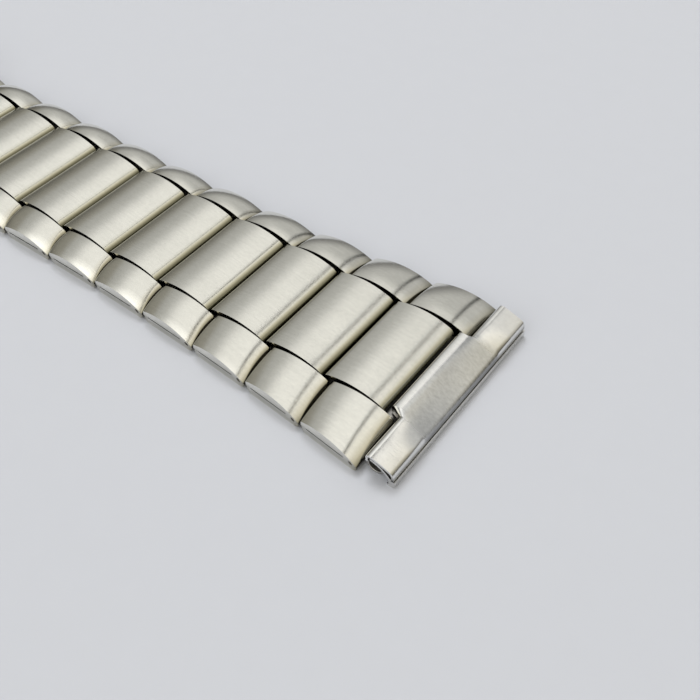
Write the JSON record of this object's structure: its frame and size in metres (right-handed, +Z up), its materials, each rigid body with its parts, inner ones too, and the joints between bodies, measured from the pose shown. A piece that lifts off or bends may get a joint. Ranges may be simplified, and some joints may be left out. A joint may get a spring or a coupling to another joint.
{
  "type": "steel watch bracelet",
  "caption": "Folded steel watch bracelet with tapering three-piece rows on hinge pins, straight spring-bar end pieces and a folding clasp.",
  "frame": {"origin": "middle of the straight, flat bracelet, on the plane that its wrist side lies on", "axes": "+X along the bracelet towards the end piece of the long half, +Y across it, +Z up through the crowned outer face"},
  "size_m": [0.1512, 0.019, 0.0032],
  "materials": {
    "centre_steel": "brushed along the bracelet",
    "side_steel": "satin to polished, with fine scratches",
    "bright_steel": "plain bright sheet",
    "inner_steel": "plain, dull"
  },
  "bodies": {
    "clasp_body": {"clasp_cover": "centre_steel", "clasp_cover_pin": "inner_steel", "clasp_adjust_bar": "inner_steel", "clasp_catch_bar": "inner_steel"},
    "upper_blade": {"clasp_upper_blade": "bright_steel"},
    "lower_blade": {"clasp_lower_blade": "bright_steel", "clasp_elbow_pin": "inner_steel", "clasp_link_pin": "inner_steel"},
    "six_row_11": {"six_row_11_centre_link": "centre_steel", "six_row_11_side_links": "side_steel"},
    "six_row_10": {"six_row_10_centre_link": "centre_steel", "six_row_10_side_links": "side_steel"},
    "six_row_09": {"six_row_09_centre_link": "centre_steel", "six_row_09_side_links": "side_steel"},
    "six_row_08": {"six_row_08_centre_link": "centre_steel", "six_row_08_side_links": "side_steel"},
    "six_row_07": {"six_row_07_centre_link": "centre_steel", "six_row_07_side_links": "side_steel"},
    "six_row_06": {"six_row_06_centre_link": "centre_steel", "six_row_06_side_links": "side_steel"},
    "six_row_05": {"six_row_05_centre_link": "centre_steel", "six_row_05_side_links": "side_steel"},
    "six_row_04": {"six_row_04_centre_link": "centre_steel", "six_row_04_side_links": "side_steel"},
    "six_row_03": {"six_row_03_centre_link": "centre_steel", "six_row_03_side_links": "side_steel"},
    "six_row_02": {"six_row_02_centre_link": "centre_steel", "six_row_02_side_links": "side_steel"},
    "six_row_01": {"six_row_01_centre_link": "centre_steel", "six_row_01_side_links": "side_steel"},
    "six_end": {"six_end_cover": "side_steel", "six_end_liner": "bright_steel", "six_end_core": "inner_steel"},
    "twelve_row_09": {"twelve_row_09_centre_link": "centre_steel", "twelve_row_09_side_links": "side_steel"},
    "twelve_row_08": {"twelve_row_08_centre_link": "centre_steel", "twelve_row_08_side_links": "side_steel"},
    "twelve_row_07": {"twelve_row_07_centre_link": "centre_steel", "twelve_row_07_side_links": "side_steel"},
    "twelve_row_06": {"twelve_row_06_centre_link": "centre_steel", "twelve_row_06_side_links": "side_steel"},
    "twelve_row_05": {"twelve_row_05_centre_link": "centre_steel", "twelve_row_05_side_links": "side_steel"},
    "twelve_row_04": {"twelve_row_04_centre_link": "centre_steel", "twelve_row_04_side_links": "side_steel"},
    "twelve_row_03": {"twelve_row_03_centre_link": "centre_steel", "twelve_row_03_side_links": "side_steel"},
    "twelve_row_02": {"twelve_row_02_centre_link": "centre_steel", "twelve_row_02_side_links": "side_steel"},
    "twelve_row_01": {"twelve_row_01_centre_link": "centre_steel", "twelve_row_01_side_links": "side_steel"},
    "twelve_end": {"twelve_end_cover": "side_steel", "twelve_end_liner": "bright_steel", "twelve_end_core": "inner_steel"}
  },
  "joints": [
    {"name": "cover_hinge", "type": "hinge", "parent": "clasp_body", "child": "upper_blade", "pos_m": [0.0077, 0, 0.0014], "axis": [0, -1, 0], "range_deg": [0, 170]},
    {"name": "elbow", "type": "hinge", "parent": "upper_blade", "child": "lower_blade", "pos_m": [-0.0138, 0, 0.00085], "axis": [0, -1, 0], "range_deg": [-170, 0]},
    {"name": "six_hinge_12", "type": "hinge", "parent": "lower_blade", "child": "six_row_11", "pos_m": [0.0094, 0, 0.00064], "axis": [0, 1, 0], "range_deg": [-4, 24]},
    {"name": "six_hinge_11", "type": "hinge", "parent": "six_row_11", "child": "six_row_10", "pos_m": [0.0151, 0, 0.00064], "axis": [0, 1, 0], "range_deg": [-4, 24]},
    {"name": "six_hinge_10", "type": "hinge", "parent": "six_row_10", "child": "six_row_09", "pos_m": [0.0208, 0, 0.00064], "axis": [0, 1, 0], "range_deg": [-4, 24]},
    {"name": "six_hinge_09", "type": "hinge", "parent": "six_row_09", "child": "six_row_08", "pos_m": [0.0265, 0, 0.00064], "axis": [0, 1, 0], "range_deg": [-4, 24]},
    {"name": "six_hinge_08", "type": "hinge", "parent": "six_row_08", "child": "six_row_07", "pos_m": [0.0322, 0, 0.00064], "axis": [0, 1, 0], "range_deg": [-4, 24]},
    {"name": "six_hinge_07", "type": "hinge", "parent": "six_row_07", "child": "six_row_06", "pos_m": [0.0379, 0, 0.00064], "axis": [0, 1, 0], "range_deg": [-4, 24]},
    {"name": "six_hinge_06", "type": "hinge", "parent": "six_row_06", "child": "six_row_05", "pos_m": [0.0436, 0, 0.00064], "axis": [0, 1, 0], "range_deg": [-4, 24]},
    {"name": "six_hinge_05", "type": "hinge", "parent": "six_row_05", "child": "six_row_04", "pos_m": [0.0493, 0, 0.00064], "axis": [0, 1, 0], "range_deg": [-4, 24]},
    {"name": "six_hinge_04", "type": "hinge", "parent": "six_row_04", "child": "six_row_03", "pos_m": [0.055, 0, 0.00064], "axis": [0, 1, 0], "range_deg": [-4, 24]},
    {"name": "six_hinge_03", "type": "hinge", "parent": "six_row_03", "child": "six_row_02", "pos_m": [0.0607, 0, 0.00064], "axis": [0, 1, 0], "range_deg": [-4, 24]},
    {"name": "six_hinge_02", "type": "hinge", "parent": "six_row_02", "child": "six_row_01", "pos_m": [0.0664, 0, 0.00064], "axis": [0, 1, 0], "range_deg": [-4, 24]},
    {"name": "six_hinge_01", "type": "hinge", "parent": "six_row_01", "child": "six_end", "pos_m": [0.0721, 0, 0.00064], "axis": [0, 1, 0], "range_deg": [-4, 24]},
    {"name": "twelve_hinge_10", "type": "hinge", "parent": "clasp_body", "child": "twelve_row_09", "pos_m": [-0.0208, 0, 0.00064], "axis": [0, -1, 0], "range_deg": [0, 24]},
    {"name": "twelve_hinge_09", "type": "hinge", "parent": "twelve_row_09", "child": "twelve_row_08", "pos_m": [-0.0265, 0, 0.00064], "axis": [0, -1, 0], "range_deg": [-4, 24]},
    {"name": "twelve_hinge_08", "type": "hinge", "parent": "twelve_row_08", "child": "twelve_row_07", "pos_m": [-0.0322, 0, 0.00064], "axis": [0, -1, 0], "range_deg": [-4, 24]},
    {"name": "twelve_hinge_07", "type": "hinge", "parent": "twelve_row_07", "child": "twelve_row_06", "pos_m": [-0.0379, 0, 0.00064], "axis": [0, -1, 0], "range_deg": [-4, 24]},
    {"name": "twelve_hinge_06", "type": "hinge", "parent": "twelve_row_06", "child": "twelve_row_05", "pos_m": [-0.0436, 0, 0.00064], "axis": [0, -1, 0], "range_deg": [-4, 24]},
    {"name": "twelve_hinge_05", "type": "hinge", "parent": "twelve_row_05", "child": "twelve_row_04", "pos_m": [-0.0493, 0, 0.00064], "axis": [0, -1, 0], "range_deg": [-4, 24]},
    {"name": "twelve_hinge_04", "type": "hinge", "parent": "twelve_row_04", "child": "twelve_row_03", "pos_m": [-0.055, 0, 0.00064], "axis": [0, -1, 0], "range_deg": [-4, 24]},
    {"name": "twelve_hinge_03", "type": "hinge", "parent": "twelve_row_03", "child": "twelve_row_02", "pos_m": [-0.0607, 0, 0.00064], "axis": [0, -1, 0], "range_deg": [-4, 24]},
    {"name": "twelve_hinge_02", "type": "hinge", "parent": "twelve_row_02", "child": "twelve_row_01", "pos_m": [-0.0664, 0, 0.00064], "axis": [0, -1, 0], "range_deg": [-4, 24]},
    {"name": "twelve_hinge_01", "type": "hinge", "parent": "twelve_row_01", "child": "twelve_end", "pos_m": [-0.0721, 0, 0.00064], "axis": [0, -1, 0], "range_deg": [-4, 24]}
  ],
  "couplings": [
    {"joint": "elbow", "follows": "cover_hinge", "ratio": -1}
  ]
}
